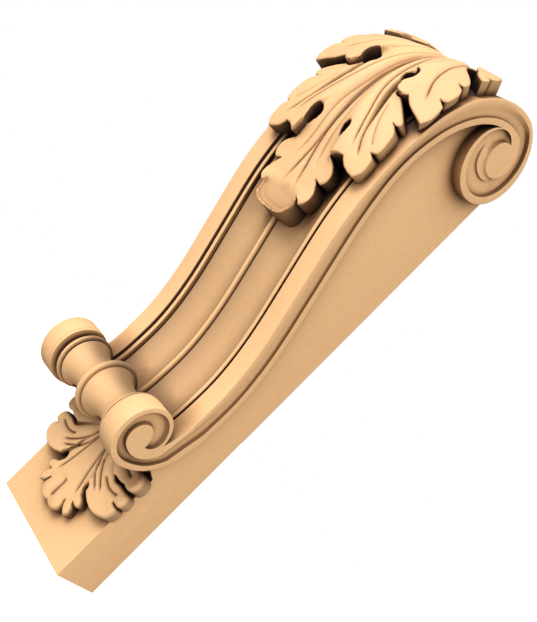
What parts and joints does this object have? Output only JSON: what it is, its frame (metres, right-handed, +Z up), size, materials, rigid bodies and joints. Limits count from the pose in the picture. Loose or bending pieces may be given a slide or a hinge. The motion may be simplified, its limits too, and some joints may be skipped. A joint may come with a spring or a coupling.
{
  "type": "corbel bracket",
  "caption": "Carved wooden corbel: a board with an S-shaped scrolled front, moulded channels, a turned roll and two acanthus leaves, fixed by its flat back.",
  "frame": {"origin": "middle of the flat back face, where the bracket is fixed to a wall or cabinet", "axes": "+Z up along the back face to the large scroll, -Y out of the carved front, X across the width"},
  "size_m": [0.1608, 0.1479, 0.5633],
  "materials": {
    "carved_wood": "matt, sanded, without lacquer"
  },
  "bodies": {
    "root": {"corbel_bracket": "carved_wood"}
  },
  "joints": []
}
